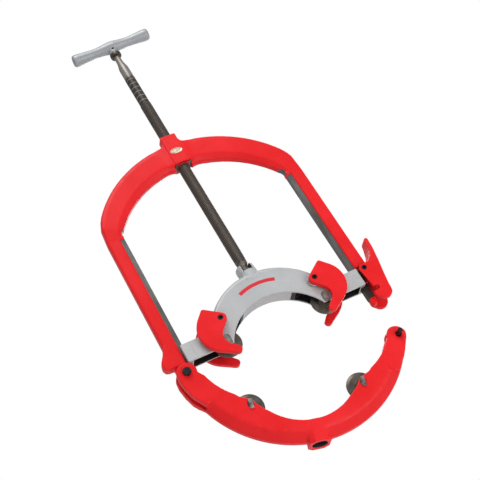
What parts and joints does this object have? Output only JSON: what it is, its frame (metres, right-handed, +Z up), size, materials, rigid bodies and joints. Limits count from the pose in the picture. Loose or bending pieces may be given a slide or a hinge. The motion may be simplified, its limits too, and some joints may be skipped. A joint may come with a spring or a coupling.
{
  "type": "hinged four-wheel pipe cutter",
  "caption": "Hinged pipe cutter: a latched lower jaw swings shut round the pipe and a T-handled screw feeds a wheel carriage down the frame.",
  "frame": {"origin": "centre of the flat back face of the boss at the middle of the crown", "axes": "+Z up along the feed screw towards the handle, +X across the legs towards the latch, +Y out of the back of the tool; the front faces -Y"},
  "size_m": [0.4433, 0.0628, 0.9449],
  "materials": {
    "carriage": "satin silver-grey paint over casting",
    "carriage_wheel_left": "dark oiled steel",
    "carriage_wheel_pin_left": "dark oiled steel",
    "carriage_wheel_pin_right": "dark oiled steel",
    "carriage_wheel_right": "dark oiled steel",
    "catch_pin": "black oxide",
    "feed_nut": "bright turned steel",
    "feed_screw": "dark oiled steel",
    "guide_left_back": "gloss red paint over casting",
    "guide_left_front": "gloss red paint over casting",
    "guide_pin_left": "black oxide",
    "guide_pin_right": "black oxide",
    "guide_right_back": "gloss red paint over casting",
    "guide_right_front": "gloss red paint over casting",
    "guide_washer_left_back": "bright turned steel",
    "guide_washer_left_front": "bright turned steel",
    "guide_washer_right_back": "bright turned steel",
    "guide_washer_right_front": "bright turned steel",
    "handle_collar": "black oxide",
    "handle_pin": "black oxide",
    "hinge_bolt": "black oxide",
    "hinge_nut": "black oxide",
    "jaw_wheel_left": "dark oiled steel",
    "jaw_wheel_pin_left": "bright turned steel",
    "jaw_wheel_pin_right": "bright turned steel",
    "jaw_wheel_right": "dark oiled steel",
    "latch_lever": "gloss red paint over casting",
    "latch_pivot_pin": "black oxide",
    "lower_jaw": "gloss red paint over casting",
    "main_frame": "gloss red paint over casting",
    "plain_badge": "plain pressed plate",
    "screw_retaining_pin_left": "bright turned steel",
    "screw_retaining_pin_right": "bright turned steel",
    "t_handle": "satin silver-grey paint over casting"
  },
  "bodies": {
    "frame": {"main_frame": "main_frame", "feed_nut": "feed_nut", "plain_badge": "plain_badge", "hinge_bolt": "hinge_bolt", "hinge_nut": "hinge_nut", "latch_pivot_pin": "latch_pivot_pin"},
    "jaw": {"lower_jaw": "lower_jaw", "catch_pin": "catch_pin", "jaw_wheel_pin_left": "jaw_wheel_pin_left", "jaw_wheel_pin_right": "jaw_wheel_pin_right"},
    "jaw_wheel_left": {"jaw_wheel_left": "jaw_wheel_left"},
    "jaw_wheel_right": {"jaw_wheel_right": "jaw_wheel_right"},
    "carriage": {"carriage": "carriage", "screw_retaining_pin_left": "screw_retaining_pin_left", "screw_retaining_pin_right": "screw_retaining_pin_right", "carriage_wheel_pin_left": "carriage_wheel_pin_left", "carriage_wheel_pin_right": "carriage_wheel_pin_right", "guide_washer_left_front": "guide_washer_left_front", "guide_washer_left_back": "guide_washer_left_back", "guide_washer_right_front": "guide_washer_right_front", "guide_washer_right_back": "guide_washer_right_back"},
    "carriage_wheel_left": {"carriage_wheel_left": "carriage_wheel_left"},
    "carriage_wheel_right": {"carriage_wheel_right": "carriage_wheel_right"},
    "guides_left": {"guide_left_front": "guide_left_front", "guide_left_back": "guide_left_back", "guide_pin_left": "guide_pin_left"},
    "guides_right": {"guide_right_front": "guide_right_front", "guide_right_back": "guide_right_back", "guide_pin_right": "guide_pin_right"},
    "screw": {"feed_screw": "feed_screw", "handle_collar": "handle_collar", "t_handle": "t_handle", "handle_pin": "handle_pin"},
    "latch": {"latch_lever": "latch_lever"}
  },
  "joints": [
    {"name": "carriage_travel", "type": "slide", "parent": "frame", "child": "carriage", "axis": [0, 0, 1], "range_m": [0, 0.226]},
    {"name": "screw_turn", "type": "hinge", "parent": "carriage", "child": "screw", "pos_m": [0, -0.016, -0.13925], "axis": [0, 0, 1], "range_deg": [0, 25511.8]},
    {"name": "jaw_hinge", "type": "hinge", "parent": "frame", "child": "jaw", "pos_m": [-0.185, -0.016, -0.42775], "axis": [0, 1, 0], "range_deg": [-14.2, 75]},
    {"name": "latch_pivot", "type": "hinge", "parent": "frame", "child": "latch", "pos_m": [0.1855, -0.016, -0.38365], "axis": [0, 1, 0], "range_deg": [-18, 0]},
    {"name": "guides_left_pivot", "type": "hinge", "parent": "carriage", "child": "guides_left", "pos_m": [-0.0922, -0.016, -0.36605], "axis": [0, 1, 0], "range_deg": [0, 25]},
    {"name": "guides_right_pivot", "type": "hinge", "parent": "carriage", "child": "guides_right", "pos_m": [0.0922, -0.016, -0.36605], "axis": [0, 1, 0], "range_deg": [-25, 0]},
    {"name": "carriage_wheel_left_spin", "type": "hinge", "parent": "carriage", "child": "carriage_wheel_left", "pos_m": [-0.0957, -0.016, -0.40355], "axis": [0, 1, 0], "continuous": true},
    {"name": "carriage_wheel_right_spin", "type": "hinge", "parent": "carriage", "child": "carriage_wheel_right", "pos_m": [0.0957, -0.016, -0.40355], "axis": [0, 1, 0], "continuous": true},
    {"name": "jaw_wheel_left_spin", "type": "hinge", "parent": "jaw", "child": "jaw_wheel_left", "pos_m": [-0.11693, -0.016, -0.52275], "axis": [0, 1, 0], "continuous": true},
    {"name": "jaw_wheel_right_spin", "type": "hinge", "parent": "jaw", "child": "jaw_wheel_right", "pos_m": [0.06863, -0.016, -0.5697], "axis": [0, 1, 0], "continuous": true}
  ],
  "couplings": [
    {"joint": "carriage_travel", "follows": "screw_turn", "m_per_rad": 0.00050532}
  ]
}
